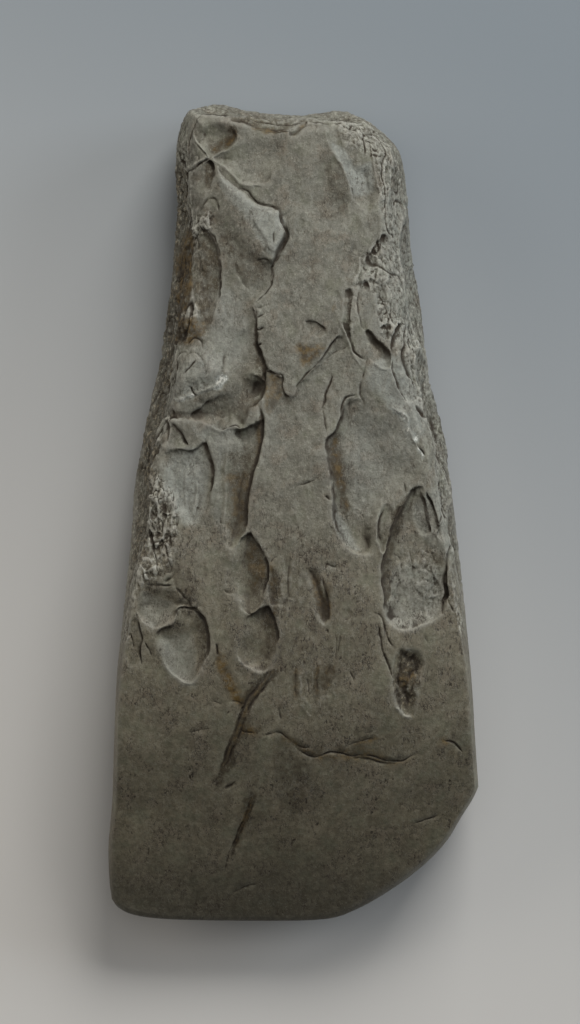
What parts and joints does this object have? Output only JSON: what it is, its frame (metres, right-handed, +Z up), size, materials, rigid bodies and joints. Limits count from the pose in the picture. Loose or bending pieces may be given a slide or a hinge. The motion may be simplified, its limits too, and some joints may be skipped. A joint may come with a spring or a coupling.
{
  "type": "argillite adze",
  "caption": "Long tapering stone adze blade with a flaked and pecked butt, a smooth ground blade, a bevelled cutting edge and one worn corner.",
  "frame": {"origin": "under the middle of the adze, on the surface it lies on", "axes": "+Y along the adze from its cutting edge to its poll, +Z up out of its face, +X to the right of the face"},
  "size_m": [0.0814, 0.18, 0.0352],
  "materials": {
    "argillite": "weathered olive-grey stone: matt and flaked at the butt, ground smooth and darker at the blade, brown dirt in the hollows"
  },
  "bodies": {
    "root": {"adze": "argillite"}
  },
  "joints": []
}
